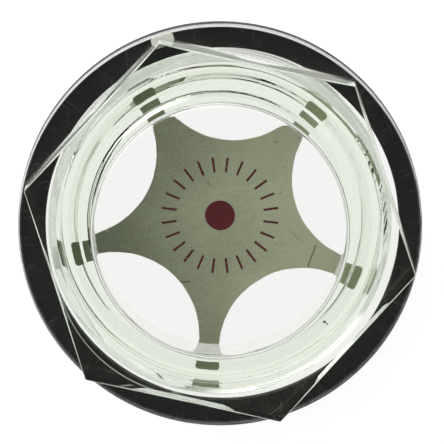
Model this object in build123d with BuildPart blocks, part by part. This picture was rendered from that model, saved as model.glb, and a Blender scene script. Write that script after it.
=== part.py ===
from build123d import *
import math
import os

# Screw-in level gauge: a clear moulded body with a hexagon head and a pipe thread,
# a rubber packing ring under its flange, and a star-shaped metal contrast screen
# snapped into a groove behind the window.
# Millimetres. The origin is on the axis, in the sealing plane under the packing ring.
# +Z points out through the window, and two flats of the head face +X and -X.

os.makedirs("parts", exist_ok=True)

# Head and flange of the clear body
head_across_flats = 42.0
head_height = 6.5
head_corner_round = 0.3
head_edge_round = 0.2
flange_diameter = 49.3
flange_thickness = 2.0
flange_edge_break = 0.3

# Packing ring
ring_overhang = 0.05
ring_thickness = 2.5
ring_over_thread = 0.07
ring_edge_break = 0.3

# Pipe thread G 1 1/4, a plain cylinder at the size of its crests
thread_diameter = 41.91
thread_root_diameter = 38.95
thread_length = 10.5
neck_below_root = 0.1
thread_run_in = 0.8

# Window and hollow
window_thickness = 3.0
hollow_corner_chamfer = 0.8
hollow_radius = 15.78
hollow_draft = 0.35
ledge_chamfer = 0.42
ledge_width = 0.8
seat_chamfer = 0.4
bore_lead_in = 0.5

# Contrast screen and its groove
screen_depth = 17.5
screen_thickness = 0.5
screen_turn = 31.4
arm_count = 5
arm_width = 2.52
arm_tip_grip = 1.05
arm_tip_round = 0.4
lobe_centre_radius = 19.71
groove_play = 0.2
groove_end_gap = 0.15

# Print on the screen
ink_thickness = 0.05
dot_diameter = 3.7
mark_count = 24
mark_inner_radius = 5.4
mark_length = 1.85
mark_width = 0.28
mark_turn = -10.3

# Stub of the moulding gate on the flange
gate_width = 2.8
gate_depth = 1.3
gate_height = 0.8
gate_shift = 0.3
gate_round = 0.45

# Heights
flange_bottom = ring_thickness
flange_top = flange_bottom + flange_thickness
head_top = flange_top + head_height
hollow_top = head_top - window_thickness
thread_end = -thread_length
screen_front = head_top - screen_depth
screen_back = screen_front - screen_thickness
groove_top = screen_front + groove_play
ledge_height = groove_top + seat_chamfer
hollow_end = ledge_height + ledge_chamfer

# Radii
flange_radius = flange_diameter / 2
thread_radius = thread_diameter / 2
root_radius = thread_root_diameter / 2
neck_radius = root_radius - neck_below_root
thread_chamfer = thread_radius - root_radius
hollow_end_radius = hollow_radius + (hollow_top - hollow_end) * math.tan(math.radians(hollow_draft))
ledge_radius = hollow_end_radius + ledge_chamfer
seat_radius = ledge_radius + ledge_width
bore_radius = seat_radius + seat_chamfer
tip_radius = bore_radius + arm_tip_grip
groove_radius = tip_radius + groove_end_gap


# Clear body: hexagon head, flange, neck and threaded tube, hollowed from behind
with BuildPart() as clear_body:
    with BuildSketch(Plane.XY.offset(flange_top)) as head_outline:
        RegularPolygon(head_across_flats / 2, 6, major_radius=False, rotation=30)
        fillet(head_outline.vertices(), head_corner_round)
    extrude(amount=head_height)
    fillet(clear_body.faces().sort_by(Axis.Z)[-1].edges(), head_edge_round)

    with BuildSketch(Plane.XZ) as flange_section:
        with Locations((0, flange_bottom)):
            Rectangle(flange_radius, flange_thickness, align=Align.MIN)
        rim = flange_section.vertices().group_by(Axis.X)[-1]
        chamfer(rim, flange_edge_break)
    revolve(axis=Axis.Z)

    with BuildSketch(Plane.XZ) as tube_section:
        with BuildLine():
            Polyline(
                (0, flange_bottom),
                (neck_radius, flange_bottom),
                (neck_radius, thread_run_in),
                (thread_radius, 0),
                (thread_radius, thread_end + thread_chamfer),
                (root_radius, thread_end),
                (0, thread_end),
                close=True,
            )
        make_face()
    revolve(axis=Axis.Z)

    gate_y = flange_radius - flange_edge_break - gate_depth / 2
    with BuildSketch(Plane.XY.offset(flange_top)) as gate_outline:
        with Locations((gate_shift, gate_y)):
            RectangleRounded(gate_width, gate_depth, gate_round)
    extrude(amount=gate_height)

    with BuildSketch(Plane.XZ) as hollow_section:
        with BuildLine():
            Polyline(
                (0, hollow_top),
                (hollow_radius, hollow_top),
                (hollow_end_radius, hollow_end),
                (ledge_radius, ledge_height),
                (seat_radius, ledge_height),
                (bore_radius, groove_top),
                (groove_radius, groove_top),
                (groove_radius, screen_back),
                (bore_radius, screen_back),
                (bore_radius, thread_end + bore_lead_in),
                (bore_radius + bore_lead_in, thread_end),
                (0, thread_end),
                close=True,
            )
        make_face()
        ceiling_corner = hollow_section.vertices().group_by(Axis.Y)[-1].sort_by(Axis.X)[-1]
        chamfer(ceiling_corner, hollow_corner_chamfer)
    revolve(axis=Axis.Z, mode=Mode.SUBTRACT)
clear_body.part.label = "clear_body"


# Packing ring: flat rubber ring with broken edges, just loose over the thread
with BuildPart() as packing_ring:
    ring_inner_radius = thread_radius + ring_over_thread
    ring_outer_radius = flange_radius + ring_overhang
    with BuildSketch(Plane.XZ) as ring_section:
        with Locations((ring_inner_radius, 0)):
            Rectangle(ring_outer_radius - ring_inner_radius, ring_thickness, align=Align.MIN)
        chamfer(ring_section.vertices(), ring_edge_break)
    revolve(axis=Axis.Z)
packing_ring.part.label = "packing_ring"


# Contrast screen: a disc with round lobes cut away between its arms
with BuildPart() as contrast_screen:
    half_pitch = 180 / arm_count
    lobe_radius = lobe_centre_radius * math.sin(math.radians(half_pitch)) - arm_width / 2
    with BuildSketch(Plane.XY.offset(screen_back)) as screen_outline:
        Circle(tip_radius)
        with PolarLocations(lobe_centre_radius, arm_count, start_angle=screen_turn + half_pitch):
            Circle(lobe_radius, mode=Mode.SUBTRACT)
        fillet(screen_outline.vertices(), arm_tip_round)
    extrude(amount=screen_thickness)
contrast_screen.part.label = "contrast_screen"


# Print: a sighting dot and a ring of plain marks, as thin layers of ink
with BuildPart() as sight_dot:
    with BuildSketch(Plane.XY.offset(screen_front)):
        Circle(dot_diameter / 2)
    extrude(amount=ink_thickness)
sight_dot.part.label = "sight_dot"

with BuildPart() as scale_marks:
    mark_middle = mark_inner_radius + mark_length / 2
    with BuildSketch(Plane.XY.offset(screen_front)):
        with PolarLocations(mark_middle, mark_count, start_angle=mark_turn):
            Rectangle(mark_length, mark_width)
    extrude(amount=ink_thickness)
scale_marks.part.label = "scale_marks"


export_step(clear_body.part, "parts/clear_body.step")
export_step(packing_ring.part, "parts/packing_ring.step")
export_step(contrast_screen.part, "parts/contrast_screen.step")
export_step(sight_dot.part, "parts/sight_dot.step")
export_step(scale_marks.part, "parts/scale_marks.step")
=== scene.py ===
import math

import bmesh
import bpy
import numpy as np
from mathutils import Matrix, Vector
from mathutils.geometry import delaunay_2d_cdt


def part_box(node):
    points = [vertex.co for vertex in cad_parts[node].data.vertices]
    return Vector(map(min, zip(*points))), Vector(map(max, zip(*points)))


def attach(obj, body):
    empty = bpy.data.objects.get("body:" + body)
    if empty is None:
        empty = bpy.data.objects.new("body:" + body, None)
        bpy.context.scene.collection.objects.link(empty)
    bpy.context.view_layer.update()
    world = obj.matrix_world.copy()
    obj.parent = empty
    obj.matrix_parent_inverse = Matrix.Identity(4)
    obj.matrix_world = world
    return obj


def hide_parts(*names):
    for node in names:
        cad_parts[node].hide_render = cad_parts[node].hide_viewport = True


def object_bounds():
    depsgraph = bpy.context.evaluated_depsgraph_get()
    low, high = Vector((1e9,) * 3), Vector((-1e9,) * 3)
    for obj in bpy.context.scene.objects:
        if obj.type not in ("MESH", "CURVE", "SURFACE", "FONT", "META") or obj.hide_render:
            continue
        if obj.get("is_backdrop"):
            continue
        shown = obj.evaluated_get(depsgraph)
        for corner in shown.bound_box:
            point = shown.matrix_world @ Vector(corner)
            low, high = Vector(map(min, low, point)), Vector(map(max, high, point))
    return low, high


bl_info = {
    "name": "Tank level gauge",
    "version": (1, 0, 0),
    "blender": (4, 5, 0),
    "location": "View3D > Sidebar > Level gauge",
    "description": "Dresses a screw-in level gauge: clear body, rubber ring, printed screen and stage",
    "category": "Object",
}

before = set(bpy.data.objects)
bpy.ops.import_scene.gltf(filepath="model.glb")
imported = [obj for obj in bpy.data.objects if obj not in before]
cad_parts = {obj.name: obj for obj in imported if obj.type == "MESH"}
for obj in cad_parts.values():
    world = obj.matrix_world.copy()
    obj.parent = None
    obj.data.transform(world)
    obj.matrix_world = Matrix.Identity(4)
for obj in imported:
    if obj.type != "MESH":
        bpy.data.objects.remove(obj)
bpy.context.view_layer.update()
MM = 0.001

BODY_LOW, BODY_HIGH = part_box("clear_body")
RING_LOW, RING_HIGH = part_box("packing_ring")
SCREEN_LOW, SCREEN_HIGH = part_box("contrast_screen")


# ---------------------------------------------------------------- settings


def length(label, description, default):
    """A length property in metres, shown in the scene's own unit."""
    return bpy.props.FloatProperty(
        name=label, description=description, default=default, min=0.0, unit="LENGTH", precision=5
    )


def offset(label, description, default):
    """A length property that may be negative."""
    return bpy.props.FloatProperty(
        name=label, description=description, default=default, unit="LENGTH", precision=5
    )


def angle(label, description, degrees):
    """An angle property, given in degrees and kept in radians."""
    return bpy.props.FloatProperty(
        name=label, description=description, default=math.radians(degrees), subtype="ANGLE"
    )


def colour(label, description, default):
    """A linear RGB colour property."""
    return bpy.props.FloatVectorProperty(
        name=label, description=description, default=default, size=3, min=0.0, max=1.0, subtype="COLOR"
    )


class LevelGaugeSizes(bpy.types.PropertyGroup):
    """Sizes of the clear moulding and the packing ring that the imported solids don't state themselves"""

    across_flats: length("Across flats", "Width of the hexagon head over two flats", 42 * MM)
    head_height: length("Head height", "Height of the hexagon above the flange", 6.5 * MM)
    corner_round: length("Corner round", "Radius on the hexagon's upright corners", 0.3 * MM)
    edge_round: length("Edge round", "Radius round the edge of the head's face", 0.2 * MM)
    foot_round: length("Foot round", "Fillet where the hexagon meets the flange", 0.18 * MM)
    flange_round: length("Flange round", "Radius on the rim of the flange", 0.3 * MM)
    thread_radius: length("Thread crest", "Radius over the crests of the pipe thread", 20.955 * MM)
    root_radius: length("Thread root", "Radius at the root of the pipe thread", 19.475 * MM)
    thread_pitch: length("Thread pitch", "Distance from one crest to the next", 2.3091 * MM)
    neck_over_root: length("Neck", "How far the plain neck stands out over the thread's root", 0.45 * MM)
    run_in: length("Run-in", "Height over which the thread rises out of the neck", 0.8 * MM)
    window: length("Window", "Thickness of the window", 3.0 * MM)
    hollow_radius: length("Hollow", "Radius of the hollow at the window", 15.78 * MM)
    hollow_round: length("Hollow corner", "Radius in the corner between window and hollow", 0.70 * MM)
    draft: angle("Draft", "Draft of the hollow", 0.35)
    ledge_chamfer: length("Ledge chamfer", "Width of the slope from the hollow to the ledge", 0.42 * MM)
    ledge_rise: length("Ledge rise", "Height of the slope from the hollow to the ledge", 0.73 * MM)
    ledge_width: length("Ledge width", "Width of the flat ledge", 0.80 * MM)
    seat_chamfer: length("Seat chamfer", "Width of the slope from the ledge to the groove", 0.40 * MM)
    seat_rise: length("Seat rise", "Height of the slope from the ledge to the groove", 0.70 * MM)
    tip_grip: length("Tip grip", "How far the tips of the screen reach into the groove", 1.05 * MM)
    groove_gap: length("Groove gap", "Room between the tips and the end of the groove", 0.15 * MM)
    groove_play: length("Groove play", "Room above the screen in its groove", 0.2 * MM)
    lead_in: length("Lead-in", "Chamfer at the mouth of the bore", 0.5 * MM)
    seat_gap: length("Seat gap", "Thin air gap left between faces that touch", 0.02 * MM)
    ring_play: length("Ring play", "Room between the thread and the bore of the packing ring", 0.585 * MM)
    ring_break: length("Ring edge", "Chamfer on the edges of the packing ring", 0.3 * MM)
    ring_shift: length("Ring shift", "How far the bore of the packing ring sits off the axis", 0.356 * MM)
    ring_shift_turn: angle("Ring shift, turn", "Direction of the bore's shift round the axis", 18.3)
    gate_width: length("Gate width", "Width of the stub of the moulding gate", 2.8 * MM)
    gate_depth: length("Gate depth", "Depth of the stub, towards the axis", 1.3 * MM)
    gate_height: length("Gate height", "Height of the stub above the flange", 0.8 * MM)
    gate_shift: length("Gate shift", "How far the stub lies to the side of the corner", 0.3 * MM)
    gate_round: length("Gate round", "Radius on the stub's upright corners", 0.45 * MM)
    gate_from_rim: length("Gate from rim", "Distance of the stub from the rim of the flange", 0.10 * MM)


class LevelGaugeFinish(bpy.types.PropertyGroup):
    """Colours of the gauge's own materials, among them painted highlights and painted shade"""

    plastic_tint: colour("Plastic tint", "Colour that deep clear plastic takes", (0.54, 0.70, 0.34))
    # painted highlight: the white painted on the flange's rim and beside the ring's bore
    painted_highlight: colour("Scuffed edge", "Colour of the worn rim of the flange", (0.70, 0.72, 0.69))
    gate: colour("Gate stub", "Colour of the frosted stub of the gate", (0.86, 0.90, 0.74))
    rubber: colour("Rubber", "Colour of the packing ring", (0.005, 0.0075, 0.005))
    # grey of the ring's fine radial lines, and of the painted highlight on its upper outer edge
    rubber_hairline_and_sheen: colour("Rubber, edge", "Colour of the ring's rubbed outer edge", (0.085, 0.088, 0.088))
    dust: colour("Dust", "Colour of dust and lint on the rubber", (0.30, 0.31, 0.30))
    # painted shade: the screen's colour runs from the shaded tone on one side to the lit tone on the other
    screen_shaded: colour("Screen, dark", "Darker tone of the metal screen", (0.235, 0.27, 0.165))
    screen_lit: colour("Screen, light", "Lighter tone of the metal screen", (0.69, 0.72, 0.50))
    dot_ink: colour("Dot", "Ink of the sighting dot", (0.145, 0.012, 0.018))
    mark_ink: colour("Marks", "Ink of the ring of marks", (0.13, 0.022, 0.024))


class LevelGaugeStage(bpy.types.PropertyGroup):
    """Camera and light"""

    distance: length("Distance", "From the camera to the gauge", 0.72)
    lean: angle("Lean", "How far the camera leans off the gauge's axis", 7.77)
    turn: angle("Turn", "How far the camera is turned round the axis", 17.665)
    aim_right: offset("Aim, right", "How far right of the axis the camera looks", 0.241 * MM)
    aim_up: offset("Aim, up", "How far up from the axis the camera looks", -0.083 * MM)
    key_turn: angle("Key, turn", "Direction of the key light, round from the camera's right", 125.0)
    key_height: angle("Key, height", "Height of the key light over the horizon", 48.0)
    key_strength: bpy.props.FloatProperty(
        name="Key", description="Brightness of the key light over the rest", default=1.6, min=0.0
    )
    lens: bpy.props.FloatProperty(
        name="Lens", description="Focal length of the camera", default=476.1, min=1.0, unit="CAMERA"
    )


# ---------------------------------------------------------------- materials


def new_material(name):
    """An empty node material: its tree and its output node."""
    material = bpy.data.materials.new(name)
    material.use_nodes = True
    tree = material.node_tree
    tree.nodes.clear()
    return material, tree, tree.nodes.new("ShaderNodeOutputMaterial")


def node(tree, kind, inputs=None, **settings):
    """Adds a node, sets its settings and the inputs named or numbered."""
    made = tree.nodes.new(kind)
    for key, value in settings.items():
        setattr(made, key, value)
    for key, value in (inputs or {}).items():
        if isinstance(value, bpy.types.NodeSocket):
            tree.links.new(value, made.inputs[key])
        else:
            made.inputs[key].default_value = value
    return made


def ramp(tree, value, stops):
    """A grey ramp with these stops of position and tone."""
    made = node(tree, "ShaderNodeValToRGB", {0: value})
    elements = made.color_ramp.elements
    elements.remove(elements[-1])
    for index, (position, tone) in enumerate(stops):
        element = elements[0] if index == 0 else elements.new(position)
        element.position = position
        element.color = (tone, tone, tone, 1.0)
    return made.outputs[0]


def maths(tree, operation, *values):
    """A math node on these values; its result."""
    return node(tree, "ShaderNodeMath", dict(enumerate(values)), operation=operation).outputs[0]


def vector_maths(tree, operation, inputs):
    """A vector math node; its outputs."""
    return node(tree, "ShaderNodeVectorMath", inputs, operation=operation).outputs


def place_in_mm(tree):
    """The object's own coordinates in millimetres."""
    place = node(tree, "ShaderNodeTexCoord").outputs["Object"]
    return vector_maths(tree, "SCALE", {0: place, "Scale": 1 / MM})[0]


def round_the_axis(tree, place):
    """Distance from the axis, angle round it and height, of a place in millimetres."""
    level = vector_maths(tree, "MULTIPLY", {0: place, 1: (1.0, 1.0, 0.0)})[0]
    radius = vector_maths(tree, "LENGTH", {0: level})["Value"]
    parts = node(tree, "ShaderNodeSeparateXYZ", {0: place}).outputs
    azimuth = maths(tree, "ARCTAN2", parts["Y"], parts["X"])
    return radius, azimuth, parts["Z"]


def facing_side(tree, azimuth, degrees):
    """1 on the side of the axis that faces this way, -1 on the far side."""
    return maths(tree, "COSINE", maths(tree, "SUBTRACT", azimuth, math.radians(degrees)))


def polar(tree, radius, azimuth, turns, along):
    """Coordinates that run round the axis and out from it, for marks that follow the ring."""
    return node(tree, "ShaderNodeCombineXYZ", {
        "X": maths(tree, "MULTIPLY", azimuth, turns),
        "Y": maths(tree, "MULTIPLY", radius, along),
    }).outputs[0]


def noise(tree, place, scale, detail=2.0, roughness=0.5):
    """Smooth noise between 0 and 1."""
    return node(tree, "ShaderNodeTexNoise", {
        "Vector": place, "Scale": scale, "Detail": detail, "Roughness": roughness,
    }).outputs["Fac"]


def between(tree, value, low, high):
    """A soft step from 0 at low to 1 at high. Where low is over high, it steps down."""
    return node(tree, "ShaderNodeMapRange", {
        "Value": value, "From Min": low, "From Max": high,
    }, interpolation_type="SMOOTHSTEP").outputs["Result"]


def both(tree, first, second):
    """Two values multiplied, such as two masks or a mask and its strength."""
    return maths(tree, "MULTIPLY", first, second)


def spread(tree, value, width):
    """A value between 0 and 1, moved to lie round 0 over this width."""
    return maths(tree, "MULTIPLY", maths(tree, "SUBTRACT", value, 0.5), width)


def blend(tree, share, first, second):
    """Colour mixed from the first to the second by a share."""
    values = {0: share}
    for key, value in ((6, first), (7, second)):
        values[key] = (*value, 1.0) if isinstance(value, tuple) else value
    return node(tree, "ShaderNodeMix", values, data_type="RGBA").outputs[2]


# Full strength is reached at this share of a line's half width or a speck's radius, and at this
# share of a scratch's length from its middle
LINE_CORE = 0.4
SPECK_CORE = 0.6
STROKE_CORE = 0.42


def threads_of_lint(tree, place, scale, width, seed):
    """Thin crooked lines, here and there: 1 on a line and 0 elsewhere."""
    moved = vector_maths(tree, "ADD", {0: place, 1: (seed, seed * 0.7, 0.0)})[0]
    line = maths(tree, "ABSOLUTE", maths(tree, "SUBTRACT", noise(tree, moved, scale, detail=1.0), 0.5))
    some = between(tree, noise(tree, moved, scale * 2.3, detail=0.0), 0.60, 0.66)
    return both(tree, between(tree, line, width, width * LINE_CORE), some)


def specks(tree, place, scale, size, share):
    """Small round specks in a share of the cells: 1 on a speck and 0 elsewhere."""
    cells = node(tree, "ShaderNodeTexVoronoi", {"Vector": place, "Scale": scale, "Randomness": 1.0}).outputs
    draw = node(tree, "ShaderNodeSeparateColor", {0: cells["Color"]}).outputs[0]
    chosen = maths(tree, "LESS_THAN", draw, share)
    return both(tree, between(tree, cells["Distance"], size, size * SPECK_CORE), chosen)


def stroke(tree, place, centre, degrees, length_mm, width_mm):
    """One scratch, nearly straight: 1 on it and 0 elsewhere."""
    local = node(tree, "ShaderNodeMapping", {
        "Vector": place,
        "Location": (*centre, 0.0),
        "Rotation": (0.0, 0.0, math.radians(degrees)),
    }, vector_type="TEXTURE")
    parts = node(tree, "ShaderNodeSeparateXYZ", {0: local.outputs[0]}).outputs
    bend = spread(tree, noise(tree, place, scale=0.6), 0.5)
    aside = maths(tree, "ABSOLUTE", maths(tree, "ADD", parts["Y"], bend))
    along = maths(tree, "ABSOLUTE", parts["X"])
    return both(
        tree,
        between(tree, aside, width_mm, width_mm * LINE_CORE),
        between(tree, along, length_mm / 2, length_mm * STROKE_CORE),
    )


def highest(tree, *values):
    """The highest of these values."""
    result = values[0]
    for value in values[1:]:
        result = maths(tree, "MAXIMUM", result, value)
    return result


def relief(tree, height, depth_mm):
    """A bump normal from a height between 0 and 1."""
    return node(tree, "ShaderNodeBump", {
        "Height": height, "Strength": 1.0, "Distance": depth_mm * MM,
    }).outputs[0]


# Dark flecks on the face of the head, in millimetres: middle, direction in degrees, length and width
FLECKS = (
    ((8.78, -14.10), -50, 0.36, 0.17),
    ((8.94, -14.46), -50, 0.24, 0.13),
)

# Scratches on the screen: the same measures, and how dark each one is
SCRATCHES = (
    ((9.28, -8.28), 52, 3.2, 0.12, 1.0),
    ((8.1, -5.2), -63, 2.8, 0.06, 0.5),
    ((-6.6, -6.6), -18, 1.3, 0.14, 0.8),
)
BRIGHT_NICK = ((-6.36, -11.83), -18, 0.7, 0.10)

# Painted shade: the screen is painted darker on one side and lighter on the other: the direction across it,
# and where this painted shading begins and ends
SHADE_DIRECTION = (0.953, -0.303, 0.0)
SHADE_RANGE = (-20.0, 16.0)

ROLLING_TURN = math.radians(72)

# The side of the flange's rim where its painted highlight is brightest, in degrees round the axis. Then a
# thin painted highlight beside the ring's bore: its side, its farthest reach outside the thread in
# millimetres, and how tightly it curves in
RIM_HIGHLIGHT_SIDE = 92
BORE_GLINT_SIDE = -146.7
BORE_GLINT_REACH = 0.845
BORE_GLINT_PULL = 5.9

# Where the painted highlights begin and where they are full, in millimetres: in from the rim and up from
# the underside on the flange, in from the rim and down from the top on the packing ring, beside the thin
# line by the bore
FLANGE_HIGHLIGHT_IN = (0.26, 0.16)
FLANGE_HIGHLIGHT_UP = (1.65, 1.80)
RING_SHEEN_IN = (0.62, 0.25)
RING_SHEEN_DOWN = (0.7, 0.3)
BORE_GLINT_WIDTH = (0.10, 0.04)

# How far under the face of the head its flecks may still show, in millimetres
FACE_DEPTH = (0.3, 0.1)

# How strongly marks show over what they lie on, from 0 to 1
HAIRLINE_STRENGTH = 0.06
SPOKE_STRENGTH = 0.55
LINT_STRENGTH = 0.55
SCRATCH_STRENGTH = 0.75
NICK_STRENGTH = 0.6
PINHOLE_STRENGTH = 0.25

# How far each kind of unevenness shifts the screen's tone: millimetres across it, then shares of the tone
CLOUD_SHIFT = 14.0
GRAIN_SHIFT = 0.55
FINE_SHIFT = 0.95

PLASTIC_INDEX = 1.56
TINT_DENSITY = 18.0

FLECK_BLACK = (0.01, 0.01, 0.01)
GATE_PALE = (0.93, 0.95, 0.86)
SCRATCH_DARK = (0.035, 0.035, 0.025)
NICK_BRIGHT = (0.75, 0.76, 0.66)
PINHOLE = (0.26, 0.24, 0.18)


def clear_plastic(finish):
    """Clear moulding: a tint in its depth, flow marks, hairlines, two dark flecks and a painted highlight
    on the rim.
    """
    material, tree, out = new_material("clear_plastic")
    place = place_in_mm(tree)
    radius, azimuth, height = round_the_axis(tree, place)
    flow = noise(tree, place, scale=0.5, detail=1.0)
    line = maths(tree, "ABSOLUTE", maths(tree, "SUBTRACT", noise(tree, place, scale=0.23, detail=0.0), 0.5))
    hairlines = between(tree, line, 0.003, 0.001)
    marks = maths(tree, "SUBTRACT", flow, both(tree, hairlines, HAIRLINE_STRENGTH))
    clear = node(tree, "ShaderNodeBsdfPrincipled", {
        "Base Color": (1.0, 1.0, 1.0, 1.0),
        "Roughness": 0.0,
        "IOR": PLASTIC_INDEX,
        "Transmission Weight": 1.0,
        "Normal": relief(tree, marks, depth_mm=0.006),
    })

    # painted highlight: the rim of the flange is painted white on its upper edge, most of all on one side,
    # towards the key light
    outer, flange_low, head_top = BODY_HIGH.x / MM, RING_HIGH.z / MM, BODY_HIGH.z / MM
    rim = between(tree, radius, *(outer - reach for reach in FLANGE_HIGHLIGHT_IN))
    upper = between(tree, height, *(flange_low + rise for rise in FLANGE_HIGHLIGHT_UP))
    side = facing_side(tree, azimuth, RIM_HIGHLIGHT_SIDE)
    lit_side = between(tree, maths(tree, "ADD", side, noise(tree, place, scale=0.5)), -0.6, 1.5)
    share = both(tree, both(tree, rim, upper), lit_side)

    face = between(tree, height, *(head_top - depth for depth in FACE_DEPTH))
    flecks = both(tree, face, highest(tree, *(stroke(tree, place, *where) for where in FLECKS)))
    # painted highlight: this diffuse white stands in for the rim's highlight; the same shader also holds
    # the real dark flecks
    highlight_and_flecks = node(tree, "ShaderNodeBsdfDiffuse", {
        "Color": blend(tree, flecks, tuple(finish.painted_highlight), FLECK_BLACK),
    })
    mixed = node(tree, "ShaderNodeMixShader", {
        0: highest(tree, share, flecks), 1: clear.outputs[0], 2: highlight_and_flecks.outputs[0],
    })
    depth = node(tree, "ShaderNodeVolumeAbsorption", {
        "Color": (*finish.plastic_tint, 1.0),
        "Density": TINT_DENSITY,
    })
    tree.links.new(mixed.outputs[0], out.inputs["Surface"])
    tree.links.new(depth.outputs[0], out.inputs["Volume"])
    return material


def frosted_gate(finish):
    """Broken-off stub of the gate: pale, frosted and rough."""
    material, tree, out = new_material("frosted_gate")
    grain = noise(tree, place_in_mm(tree), scale=5.0, detail=4.0)
    shader = node(tree, "ShaderNodeBsdfPrincipled", {
        "Base Color": blend(tree, between(tree, grain, 0.3, 0.7), tuple(finish.gate), GATE_PALE),
        "Roughness": 0.55,
        "Transmission Weight": 0.35,
        "Normal": relief(tree, grain, depth_mm=0.15),
    })
    tree.links.new(shader.outputs[0], out.inputs["Surface"])
    return material


def packing_rubber(finish, sizes):
    """Black rubber: a painted grey highlight along its upper outer edge, with fine lines outwards, lint and
    dust.
    """
    material, tree, out = new_material("packing_rubber")
    place = place_in_mm(tree)
    radius, azimuth, height = round_the_axis(tree, place)
    outer, top = RING_HIGH.x / MM, RING_HIGH.z / MM
    cloud = noise(tree, place, scale=0.35, detail=4.0, roughness=0.6)
    fine = noise(tree, place, scale=9.0, detail=3.0)
    spokes = noise(tree, polar(tree, radius, azimuth, turns=90.0, along=0.35), scale=1.0, detail=1.0)
    spokes = both(tree, between(tree, spokes, 0.56, 0.74), between(tree, cloud, 0.35, 0.60))
    # painted highlight: the top of the outer edge is painted a lighter grey, in patches
    edge = between(tree, radius, *(outer - reach for reach in RING_SHEEN_IN))
    edge = both(tree, edge, between(tree, cloud, 0.30, 0.60))
    edge = both(tree, edge, between(tree, height, *(top - drop for drop in RING_SHEEN_DOWN)))

    # a thin painted highlight beside the bore on one side, which curves in more tightly than the bore does
    farthest = sizes.thread_radius / MM + BORE_GLINT_REACH
    side = facing_side(tree, azimuth, BORE_GLINT_SIDE)
    crescent = maths(tree, "SUBTRACT", radius, both(tree, side, BORE_GLINT_PULL))
    off_line = maths(tree, "ABSOLUTE", maths(tree, "SUBTRACT", crescent, farthest - BORE_GLINT_PULL))
    bore_glint = both(tree, between(tree, off_line, *BORE_GLINT_WIDTH), between(tree, side, 0.86, 0.93))

    lint = highest(
        tree,
        both(tree, threads_of_lint(tree, place, scale=0.12, width=0.003, seed=0.0), 0.6),
        specks(tree, place, scale=1.3, size=0.07, share=0.22),
        specks(tree, place, scale=2.7, size=0.09, share=0.20),
    )
    lighter = tuple(1.7 * c for c in finish.rubber)
    base = blend(tree, between(tree, cloud, 0.35, 0.7), tuple(finish.rubber), lighter)
    base = blend(tree, both(tree, spokes, SPOKE_STRENGTH), base, tuple(finish.rubber_hairline_and_sheen))
    # painted highlight on the upper outer edge
    base = blend(tree, edge, base, tuple(finish.rubber_hairline_and_sheen))
    base = blend(tree, both(tree, lint, LINT_STRENGTH), base, tuple(finish.dust))
    # painted highlight beside the bore
    base = blend(tree, bore_glint, base, tuple(finish.painted_highlight))
    shader = node(tree, "ShaderNodeBsdfPrincipled", {
        "Base Color": base,
        "Roughness": maths(tree, "ADD", both(tree, fine, 0.25), 0.42),
        "Specular IOR Level": 0.3,
        "Normal": relief(tree, maths(tree, "ADD", fine, both(tree, spokes, 0.6)), depth_mm=0.02),
    })
    tree.links.new(shader.outputs[0], out.inputs["Surface"])
    return material


def screen_metal(finish):
    """Satin rolled sheet: a soft painted shade across it, fine grain, scratches and a few specks."""
    material, tree, out = new_material("screen_metal")
    place = place_in_mm(tree)
    across = vector_maths(tree, "DOT_PRODUCT", {0: place, 1: SHADE_DIRECTION})["Value"]
    cloud = noise(tree, place, scale=0.12, detail=3.0)
    rolled = node(tree, "ShaderNodeMapping", {
        "Vector": place, "Rotation": (0.0, 0.0, ROLLING_TURN), "Scale": (0.6, 9.0, 1.0),
    }).outputs[0]
    grain = noise(tree, rolled, scale=1.0, detail=3.0, roughness=0.7)
    fine = noise(tree, place, scale=7.0, detail=3.0, roughness=0.7)
    # painted light and shade: the tone runs from the shaded colour to the lit one across the screen, with
    # random cloud, grain and fine noise on top
    tone = between(tree, maths(tree, "ADD", across, spread(tree, cloud, CLOUD_SHIFT)), *SHADE_RANGE)
    tone = maths(tree, "ADD", tone, spread(tree, grain, GRAIN_SHIFT))
    tone = maths(tree, "ADD", tone, spread(tree, fine, FINE_SHIFT))
    scratches = highest(
        tree,
        both(tree, threads_of_lint(tree, place, scale=0.28, width=0.004, seed=1.0), 0.5),
        both(tree, specks(tree, place, scale=0.9, size=0.06, share=0.15), 0.7),
        *(both(tree, stroke(tree, place, *where), dark) for *where, dark in SCRATCHES),
    )
    bright = highest(
        tree,
        specks(tree, place, scale=0.45, size=0.035, share=0.25),
        stroke(tree, place, *BRIGHT_NICK),
    )
    # painted shade: shaded colour on one side, lit colour on the other
    base = blend(tree, tone, tuple(finish.screen_shaded), tuple(finish.screen_lit))
    base = blend(tree, both(tree, scratches, SCRATCH_STRENGTH), base, SCRATCH_DARK)
    base = blend(tree, both(tree, bright, NICK_STRENGTH), base, NICK_BRIGHT)
    shader = node(tree, "ShaderNodeBsdfPrincipled", {
        "Base Color": base,
        "Metallic": 0.35,
        "Roughness": maths(tree, "ADD", both(tree, grain, 0.2), 0.42),
        "Normal": relief(tree, maths(tree, "SUBTRACT", grain, scratches), depth_mm=0.004),
    })
    tree.links.new(shader.outputs[0], out.inputs["Surface"])
    return material


def printed_ink(name, rgb):
    """Screen-printed ink: flat, a little uneven, with pinholes."""
    material, tree, out = new_material(name)
    place = place_in_mm(tree)
    film = noise(tree, place, scale=4.0, detail=4.0, roughness=0.7)
    pinholes = specks(tree, place, scale=4.5, size=0.16, share=0.10)
    thin, thick = tuple(0.82 * c for c in rgb), tuple(1.25 * c for c in rgb)
    base = blend(tree, between(tree, film, 0.3, 0.75), thin, thick)
    base = blend(tree, both(tree, pinholes, PINHOLE_STRENGTH), base, PINHOLE)
    shader = node(tree, "ShaderNodeBsdfPrincipled", {
        "Base Color": base,
        "Roughness": 0.6,
        "Specular IOR Level": 0.2,
        "Normal": relief(tree, film, depth_mm=0.006),
    })
    tree.links.new(shader.outputs[0], out.inputs["Surface"])
    return material


def put_on(obj, material):
    """Gives an object this one material."""
    obj.data.materials.clear()
    obj.data.materials.append(material)


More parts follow.
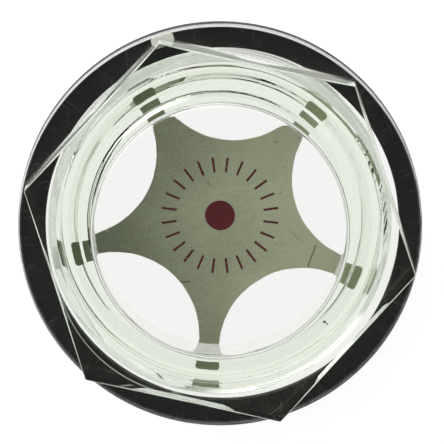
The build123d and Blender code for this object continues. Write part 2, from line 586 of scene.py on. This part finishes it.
def new_piece(context, name, mesh, material):
    """A new object in the scene, with this mesh and material."""
    piece = bpy.data.objects.new(name, mesh)
    context.scene.collection.objects.link(piece)
    put_on(piece, material)
    return piece


# ---------------------------------------------------------------- clear body


# Steps in a quarter turn of each kind of rounded edge, and points round the packing ring
ROUND_STEPS = 6
EDGE_STEPS = 5
SOFT_STEPS = 3
RING_POINTS = 480

# Smallest radius on the hexagon's corners, and the angles over which an edge stays crisp
LEAST_CORNER = 0.02 * MM
CRISP_BODY = math.radians(24)
CRISP_STUB = math.radians(40)

# Whitworth thread form: flank angle to a plane across the axis, root and crest radius, and height of
# the sharp triangle, the last two as shares of the pitch
FLANK = math.radians(27.5)
THREAD_ROUND = 0.137329
SHARP_HEIGHT = 0.960491

# Rings of points inside a cap: share of its radius, and number of points
CAP_RINGS = ((0.35, 12), (0.65, 36), (0.85, 96), (0.95, 240))


def ring_angles():
    """Angles round the axis: steps of half a degree, and closer ones at the hexagon's corners."""
    steps = [0.5 * k for k in range(-59, 60)] + [29.6, 29.72, 29.86, 30.0, 30.14, 30.28, 30.4]
    return [math.radians(60 * side + step) for side in range(6) for step in steps]


def point_at(radius, theta, height):
    """The point at this distance from the axis, angle round it and height."""
    return radius * math.cos(theta), radius * math.sin(theta), height


def hexagon_radius(theta, apothem, corner):
    """Distance from the axis to a hexagon with rounded corners, flats on +X and -X."""
    half = math.radians(30)
    off_flat = abs((theta + half) % (2 * half) - half)
    edge = math.atan((apothem - corner) * math.tan(half) / apothem)
    if off_flat <= edge:
        return apothem / math.cos(off_flat)
    centre = (apothem - corner) / math.cos(half)
    off_corner = half - off_flat
    return centre * math.cos(off_corner) + math.sqrt(corner**2 - (centre * math.sin(off_corner)) ** 2)


def lean_on_large_faces(mesh, limit):
    """Custom normals weighted by area, so that flats stay true beside small rounds. Faces that
    meet at more than the limit don't share a normal, which leaves a crisp edge there."""
    corner_point = np.empty(len(mesh.loops), dtype=np.int32)
    mesh.loops.foreach_get("vertex_index", corner_point)
    face_count = len(mesh.polygons)
    size = np.empty(face_count, dtype=np.int32)
    area = np.empty(face_count, dtype=np.float32)
    normal = np.empty(face_count * 3, dtype=np.float32)
    mesh.polygons.foreach_get("loop_total", size)
    mesh.polygons.foreach_get("area", area)
    mesh.polygons.foreach_get("normal", normal)
    normal = normal.reshape(-1, 3)
    corner_face = np.repeat(np.arange(face_count), size)

    # faces round each point, one column for each
    order = np.argsort(corner_point, kind="stable")
    sorted_point = corner_point[order]
    first = np.searchsorted(sorted_point, np.arange(len(mesh.vertices)))
    column = np.arange(len(order)) - first[sorted_point]
    around = np.full((len(mesh.vertices), column.max() + 1), -1, dtype=np.int64)
    around[sorted_point, column] = corner_face[order]

    own = normal[corner_face]
    total = np.zeros_like(own)
    for faces in around[corner_point].T:
        shared = (faces >= 0) & ((normal[faces] * own).sum(axis=1) > math.cos(limit))
        total += normal[faces] * (area[faces] * shared)[:, None]
    total /= np.linalg.norm(total, axis=1)[:, None]
    mesh.normals_split_custom_set(total.tolist())


class LatheGrid:
    """A closed surface built ring by ring round the Z axis."""

    def __init__(self, angles):
        self.angles = angles
        self.points = []
        self.faces = []
        self.last = None

    def add_points(self, radius, height):
        """One ring. Its radius is a number, or a function of the angle."""
        first = len(self.points)
        for theta in self.angles:
            r = radius(theta) if callable(radius) else radius
            self.points.append(point_at(r, theta, height))
        return list(range(first, len(self.points)))

    def join(self, upper, lower):
        """Quads between two rings."""
        count = len(upper)
        for k in range(count):
            n = (k + 1) % count
            self.faces.append((upper[k], lower[k], lower[n], upper[n]))

    def ring(self, radius, height):
        """Adds a ring and joins it to the last one, or caps it if it is the first."""
        new = self.add_points(radius, height)
        if self.last is None:
            self.cap(new)
        else:
            self.join(self.last, new)
        self.last = new

    def close(self):
        """Caps the last ring."""
        self.cap(self.last)

    def cap(self, ring):
        """A flat cap of well-shaped triangles over a ring of points that lie level."""
        height = self.points[ring[0]][2]
        rim = [Vector(self.points[k][:2]) / MM for k in ring]
        inner_radius = min(p.length for p in rim)
        inner = [Vector((0.0, 0.0))]
        for share, count in CAP_RINGS:
            turns = [2 * math.pi * k / count for k in range(count)]
            inner += [inner_radius * share * Vector((math.cos(turn), math.sin(turn))) for turn in turns]
        loop = [(k, (k + 1) % len(rim)) for k in range(len(rim))]
        points, _, faces, origins, _, _ = delaunay_2d_cdt(rim + inner, loop, [], 1, 1e-7)
        place = []
        for point, origin in zip(points, origins):
            if origin and origin[0] < len(ring):
                place.append(ring[origin[0]])
            else:
                place.append(len(self.points))
                self.points.append((point.x * MM, point.y * MM, height))
        self.faces += [tuple(place[k] for k in face) for face in faces]

    def arc(self, centre_r, centre_z, radius, start, end):
        """Rings along a round edge, from one angle of its section to another, in degrees."""
        for k in range(ROUND_STEPS + 1):
            turn = math.radians(start + (end - start) * k / ROUND_STEPS)
            self.ring(centre_r + radius * math.cos(turn), centre_z + radius * math.sin(turn))

    def mesh(self, name):
        """The finished mesh, with doubled points merged and hard edges kept sharp."""
        mesh = bpy.data.meshes.new(name)
        mesh.from_pydata(self.points, [], self.faces)
        mesh.validate()
        soft = bmesh.new()
        soft.from_mesh(mesh)
        bmesh.ops.remove_doubles(soft, verts=soft.verts, dist=1e-7)
        bmesh.ops.recalc_face_normals(soft, faces=soft.faces)
        soft.to_mesh(mesh)
        soft.free()
        mesh.shade_smooth()
        lean_on_large_faces(mesh, CRISP_BODY)
        return mesh


def thread_section(along, s):
    """Radius of a Whitworth pipe thread at a distance along the axis from the middle of a crest."""
    pitch = s.thread_pitch
    from_crest = abs((along / pitch + 0.5) % 1.0 - 0.5) * pitch
    from_root = pitch / 2 - from_crest
    curve = THREAD_ROUND * pitch
    reach = curve * math.cos(FLANK)
    if from_crest < reach:
        return s.thread_radius - curve + math.sqrt(curve**2 - from_crest**2)
    if from_root < reach:
        return s.root_radius + curve - math.sqrt(curve**2 - from_root**2)
    sharp = s.thread_radius + SHARP_HEIGHT * pitch / 6
    return sharp - from_crest / math.tan(FLANK)


def cut_thread(grid, s, top, bottom):
    """The helical thread between two heights. Its rows of points follow the turns.
    Leaves its top row as the grid's last ring, and gives back its bottom row."""
    pitch = s.thread_pitch
    reach = THREAD_ROUND * pitch * math.cos(FLANK)
    half = pitch / 2
    turn = [0, reach / 2, reach, half - reach, half - reach / 2]
    turn += [half + step for step in turn]
    per_turn = len(turn)
    turns = math.ceil((top - bottom) / pitch) + 2
    last_drop = top - bottom + pitch
    drops = [k * pitch + step for k in range(turns) for step in turn]
    drops = [drop for drop in drops if drop < last_drop] + [last_drop]
    neck = s.root_radius + s.neck_over_root

    def envelope(z):
        """Largest radius at this height: the run-in at the top and the chamfer at the bottom."""
        if z > top - s.run_in:
            return neck + (s.thread_radius - neck) * (top - z) / s.run_in
        return min(s.thread_radius, s.root_radius + (z - bottom))

    columns = []
    for theta in grid.angles:
        share = (theta % (2 * math.pi)) / (2 * math.pi)
        column = []
        for drop in drops:
            z = min(top, max(bottom, top + pitch * share - drop))
            r = min(envelope(z), thread_section(z - top - pitch * share, s))
            column.append(len(grid.points))
            grid.points.append(point_at(r, theta, z))
        columns.append((share, column))
    columns_in_turn = sorted(columns)
    last_row = len(drops) - 1
    for k, (_, left) in enumerate(columns_in_turn):
        seam = k == len(columns_in_turn) - 1
        right = columns_in_turn[0 if seam else k + 1][1]
        shift = per_turn if seam else 0
        for i in range(last_row):
            a, b = max(i - shift, 0), max(i + 1 - shift, 0)
            corners = (left[i], left[i + 1], right[b], right[a])
            grid.faces.append(corners if a != b else corners[:3])
    grid.last = [column[0] for _, column in columns]
    return [column[last_row] for _, column in columns]


def body_mesh(s):
    """The whole clear moulding as one closed surface, from the head's face round to the window's back."""
    head_top = BODY_HIGH.z
    flange_top = head_top - s.head_height
    flange_bottom = RING_HIGH.z + s.seat_gap
    thread_end = BODY_LOW.z
    flange_radius = BODY_HIGH.x
    apothem = s.across_flats / 2
    neck = s.root_radius + s.neck_over_root
    hollow_top = head_top - s.window
    groove_top = SCREEN_HIGH.z + s.groove_play
    groove_floor = SCREEN_LOW.z - s.seat_gap
    ledge_height = groove_top + s.seat_rise
    hollow_end = s.hollow_radius + (hollow_top - ledge_height) * math.tan(s.draft)
    ledge_radius = hollow_end + s.ledge_chamfer
    bore_radius = ledge_radius + s.ledge_width + s.seat_chamfer
    groove_radius = bore_radius + s.tip_grip + s.groove_gap

    grid = LatheGrid(ring_angles())

    # face of the head, its rounded edge and its sides
    for k in range(EDGE_STEPS + 1):
        turn = math.radians(90 * k / EDGE_STEPS)
        inset = s.edge_round * (1 - math.sin(turn))
        corner = max(s.corner_round - inset, LEAST_CORNER)
        height = head_top - s.edge_round * (1 - math.cos(turn))
        grid.ring(lambda t, i=inset, c=corner: hexagon_radius(t, apothem - i, c), height)

    # fillet at the hexagon's foot
    for k in range(EDGE_STEPS + 1):
        turn = math.radians(90 * k / EDGE_STEPS)
        out = s.foot_round * (1 - math.cos(turn))
        height = flange_top + s.foot_round * (1 - math.sin(turn))
        grid.ring(lambda t, o=out: hexagon_radius(t, apothem, s.corner_round) + o, height)

    # rim and underside of the flange, and the neck
    flat_end = flange_radius - s.flange_round
    grid.arc(flat_end, flange_top - s.flange_round, s.flange_round, 90, 0)
    grid.arc(flat_end, flange_bottom + s.flange_round, s.flange_round, 0, -90)
    grid.ring(neck, flange_bottom)

    # thread
    upper = grid.last
    bottom_ring = cut_thread(grid, s, s.run_in, thread_end)
    grid.join(upper, grid.last)
    grid.last = bottom_ring

    # end of the tube, bore, groove, ledge with a slope on either side, and hollow
    grid.ring(bore_radius + s.lead_in, thread_end)
    grid.ring(bore_radius, thread_end + s.lead_in)
    grid.ring(bore_radius, groove_floor)
    grid.ring(groove_radius, groove_floor)
    grid.ring(groove_radius, groove_top)
    grid.ring(bore_radius, groove_top)
    grid.ring(bore_radius - s.seat_chamfer, ledge_height)
    grid.ring(ledge_radius, ledge_height)
    grid.ring(hollow_end, ledge_height + s.ledge_rise)
    corner_r = s.hollow_radius - s.hollow_round
    corner_z = hollow_top - s.hollow_round
    grid.arc(corner_r, corner_z, s.hollow_round, 0, 90)
    grid.close()
    return grid.mesh("moulded_body")


class GAUGE_OT_clear_body(bpy.types.Operator):
    """Makes the clear moulding with its thread and hides the plain solid that it stands for"""

    bl_idname = "gauge.clear_body"
    bl_label = "Clear body"

    def execute(self, context):
        sizes, finish = context.scene.gauge_sizes, context.scene.gauge_finish
        body = new_piece(context, "moulded_body", body_mesh(sizes), clear_plastic(finish))
        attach(body, "root")
        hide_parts("clear_body")
        return {"FINISHED"}


def gate_mesh(s):
    """Stub of the gate: a low pad with round corners and a softened top edge."""
    bottom = BODY_HIGH.z - s.head_height + s.seat_gap
    top = bottom - s.seat_gap + s.gate_height
    middle = Vector((s.gate_shift, BODY_HIGH.x - s.gate_from_rim - s.gate_depth / 2))
    half = Vector((s.gate_width / 2, s.gate_depth / 2))
    soft = s.gate_round / 3
    points = []
    faces = []
    rings = [(0.0, bottom)]
    for k in range(SOFT_STEPS + 1):
        turn = math.radians(90 * k / SOFT_STEPS)
        rings.append((soft * (1 - math.cos(turn)), top - soft * (1 - math.sin(turn))))
    for inset, height in rings:
        for quarter, (right, ahead) in enumerate(((1, 1), (-1, 1), (-1, -1), (1, -1))):
            centre = middle + Vector((right * (half.x - s.gate_round), ahead * (half.y - s.gate_round)))
            for k in range(ROUND_STEPS + 1):
                here = math.radians(90 * quarter) + math.radians(90 * k / ROUND_STEPS)
                edge = centre + (s.gate_round - inset) * Vector((math.cos(here), math.sin(here)))
                points.append((edge.x, edge.y, height))
    count = 4 * (ROUND_STEPS + 1)
    for row in range(len(rings) - 1):
        low, high = row * count, (row + 1) * count
        for k in range(count):
            n = (k + 1) % count
            faces.append((low + k, low + n, high + n, high + k))
    faces.append(tuple(reversed(range(count))))
    faces.append(tuple(range((len(rings) - 1) * count, len(rings) * count)))
    mesh = bpy.data.meshes.new("gate_stub")
    mesh.from_pydata(points, [], faces)
    mesh.validate()
    mesh.shade_smooth()
    lean_on_large_faces(mesh, CRISP_STUB)
    return mesh


class GAUGE_OT_gate_stub(bpy.types.Operator):
    """Makes the frosted stub that the moulding gate left on the flange"""

    bl_idname = "gauge.gate_stub"
    bl_label = "Gate stub"

    def execute(self, context):
        sizes, finish = context.scene.gauge_sizes, context.scene.gauge_finish
        stub = new_piece(context, "gate_stub", gate_mesh(sizes), frosted_gate(finish))
        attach(stub, "root")
        return {"FINISHED"}


def ring_mesh(s):
    """The packing ring: flat, with broken edges, and a bore that sits a little off the axis."""
    bore = s.thread_radius + s.ring_play
    rim = min(RING_HIGH.x, RING_HIGH.y, -RING_LOW.x, -RING_LOW.y)
    low, high, cut = RING_LOW.z, RING_HIGH.z, s.ring_break

    def off_centre(radius):
        """Distance from the axis to a circle round the shifted middle, as a function of the angle."""

        def at(theta):
            turn = theta - s.ring_shift_turn
            aside = s.ring_shift * math.sin(turn)
            return s.ring_shift * math.cos(turn) + math.sqrt(radius**2 - aside**2)

        return at

    grid = LatheGrid([2 * math.pi * k / RING_POINTS for k in range(RING_POINTS)])
    rings = [grid.add_points(radius, height) for radius, height in (
        (off_centre(bore), high - cut),
        (off_centre(bore + cut), high),
        (rim - cut, high),
        (rim, high - cut),
        (rim, low + cut),
        (rim - cut, low),
        (off_centre(bore + cut), low),
        (off_centre(bore), low + cut),
    )]
    for upper, lower in zip(rings, rings[1:] + rings[:1]):
        grid.join(upper, lower)
    return grid.mesh("rubber_ring")


class GAUGE_OT_packing_ring(bpy.types.Operator):
    """Makes the packing ring in its rubber, in the place of the plain solid"""

    bl_idname = "gauge.packing_ring"
    bl_label = "Packing ring"

    def execute(self, context):
        sizes, finish = context.scene.gauge_sizes, context.scene.gauge_finish
        ring = new_piece(context, "rubber_ring", ring_mesh(sizes), packing_rubber(finish, sizes))
        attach(ring, "root")
        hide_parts("packing_ring")
        return {"FINISHED"}


class GAUGE_OT_contrast_screen(bpy.types.Operator):
    """Gives the screen its metal and the print its inks"""

    bl_idname = "gauge.contrast_screen"
    bl_label = "Contrast screen"

    def execute(self, context):
        finish = context.scene.gauge_finish
        put_on(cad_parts["contrast_screen"], screen_metal(finish))
        put_on(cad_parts["sight_dot"], printed_ink("dot_ink", finish.dot_ink))
        put_on(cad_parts["scale_marks"], printed_ink("mark_ink", finish.mark_ink))
        return {"FINISHED"}


# ---------------------------------------------------------------- stage


# Brightness of the studio against the height of the direction: 0 at the horizon and 1 overhead
SKY = (
    (0.0, 1.0),
    (0.30, 0.97),
    (0.60, 0.86),
    (0.85, 0.74),
    (0.93, 0.16),
    (1.0, 0.08),
)

# Soft edge of the key light, as the cosine of the angle from its middle
KEY_EDGE = (0.82, 0.92)

# The floor as the camera sees it: a steady glow, and the grey that takes the light and the shadow
FLOOR_GLOW = 0.78
FLOOR_SHADED = 0.36
FLOOR_BOUNCE = 0.8
HALF_FLOOR = 1.5

CAMERA_RANGE = (0.05, 10.0)
WHITE = (1.0, 1.0, 1.0, 1.0)


def floor_material():
    """White floor: plain white where glass or gloss shows it, and with the gauge's soft shadow on it
    where the camera sees it."""
    material, tree, out = new_material("white_floor")
    path = node(tree, "ShaderNodeLightPath").outputs
    clear = maths(tree, "MAXIMUM", path["Is Glossy Ray"], path["Is Transmission Ray"])

    def grey(level):
        return node(tree, "ShaderNodeBsdfDiffuse", {"Color": (level, level, level, 1.0)}).outputs[0]

    def glow(strength):
        return node(tree, "ShaderNodeEmission", {"Color": WHITE, "Strength": strength}).outputs[0]

    seen = node(tree, "ShaderNodeAddShader", {0: glow(FLOOR_GLOW), 1: grey(FLOOR_SHADED)}).outputs[0]
    other = node(tree, "ShaderNodeMixShader", {0: clear, 1: grey(FLOOR_BOUNCE), 2: glow(1.0)}).outputs[0]
    mix = node(tree, "ShaderNodeMixShader", {0: path["Is Camera Ray"], 1: other, 2: seen})
    tree.links.new(mix.outputs[0], out.inputs["Surface"])
    return material


def make_world(scene, stage):
    """Soft studio light: pale all round, dimmer overhead, with one large soft key from the side."""
    world = bpy.data.worlds.new("studio")
    world.use_nodes = True
    tree = world.node_tree
    tree.nodes.clear()
    out = tree.nodes.new("ShaderNodeOutputWorld")
    place = node(tree, "ShaderNodeTexCoord").outputs["Generated"]
    parts = node(tree, "ShaderNodeSeparateXYZ", {0: place}).outputs
    turn = stage.key_turn - stage.turn
    toward = point_at(math.cos(stage.key_height), turn, math.sin(stage.key_height))
    facing = vector_maths(tree, "DOT_PRODUCT", {0: place, 1: toward})["Value"]
    key = both(tree, between(tree, facing, *KEY_EDGE), stage.key_strength)
    level = maths(tree, "ADD", ramp(tree, parts["Z"], SKY), key)
    back = node(tree, "ShaderNodeBackground", {"Color": WHITE, "Strength": level})
    tree.links.new(back.outputs[0], out.inputs["Surface"])
    scene.world = world


class GAUGE_OT_stage(bpy.types.Operator):
    """Makes the floor, the lights and the camera"""

    bl_idname = "gauge.stage"
    bl_label = "Stage"

    def execute(self, context):
        scene = context.scene
        stage = scene.gauge_stage
        low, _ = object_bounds()

        floor_mesh = bpy.data.meshes.new("floor")
        corners = [(HALF_FLOOR * x, HALF_FLOOR * y, low.z) for x, y in ((-1, -1), (1, -1), (1, 1), (-1, 1))]
        floor_mesh.from_pydata(corners, [], [(0, 1, 2, 3)])
        floor = new_piece(context, "floor", floor_mesh, floor_material())
        floor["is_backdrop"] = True
        make_world(scene, stage)

        camera_data = bpy.data.cameras.new("camera")
        camera_data.lens = stage.lens
        camera = bpy.data.objects.new("camera", camera_data)
        scene.collection.objects.link(camera)
        right = Vector((math.cos(stage.turn), -math.sin(stage.turn), 0))
        ahead = Vector((math.sin(stage.turn), math.cos(stage.turn), 0))
        up = ahead * math.cos(stage.lean) - Vector((0, 0, math.sin(stage.lean)))
        back = ahead * math.sin(stage.lean) + Vector((0, 0, math.cos(stage.lean)))
        aim = Vector((0, 0, RING_LOW.z)) + right * stage.aim_right + ahead * stage.aim_up
        place = aim + back * stage.distance
        camera.matrix_world = Matrix.Translation(place) @ Matrix((right, up, back)).transposed().to_4x4()
        camera_data.clip_start, camera_data.clip_end = CAMERA_RANGE
        scene.camera = camera
        scene.view_settings.view_transform = "Standard"
        return {"FINISHED"}


OPERATORS = (
    GAUGE_OT_clear_body,
    GAUGE_OT_gate_stub,
    GAUGE_OT_packing_ring,
    GAUGE_OT_contrast_screen,
    GAUGE_OT_stage,
)


class GAUGE_PT_panel(bpy.types.Panel):
    """Buttons that make the level gauge's pieces and its stage"""

    bl_idname = "GAUGE_PT_panel"
    bl_label = "Level gauge"
    bl_space_type = "VIEW_3D"
    bl_region_type = "UI"
    bl_category = "Level gauge"

    def draw(self, context):
        for operator in OPERATORS:
            self.layout.operator(operator.bl_idname)


GROUPS = {"gauge_sizes": LevelGaugeSizes, "gauge_finish": LevelGaugeFinish, "gauge_stage": LevelGaugeStage}


def register():
    """Registers the settings, the operators and the panel."""
    for name, group in GROUPS.items():
        bpy.utils.register_class(group)
        setattr(bpy.types.Scene, name, bpy.props.PointerProperty(type=group))
    for cls in (*OPERATORS, GAUGE_PT_panel):
        bpy.utils.register_class(cls)


def unregister():
    """Takes them away again, in the opposite order."""
    for cls in reversed((*OPERATORS, GAUGE_PT_panel)):
        bpy.utils.unregister_class(cls)
    for name, group in reversed(GROUPS.items()):
        delattr(bpy.types.Scene, name)
        bpy.utils.unregister_class(group)


def main():
    """Makes the whole gauge and its stage."""
    register()
    for operator in OPERATORS:
        group, name = operator.bl_idname.split(".")
        getattr(getattr(bpy.ops, group), name)()


if __name__ == "__main__":
    main()
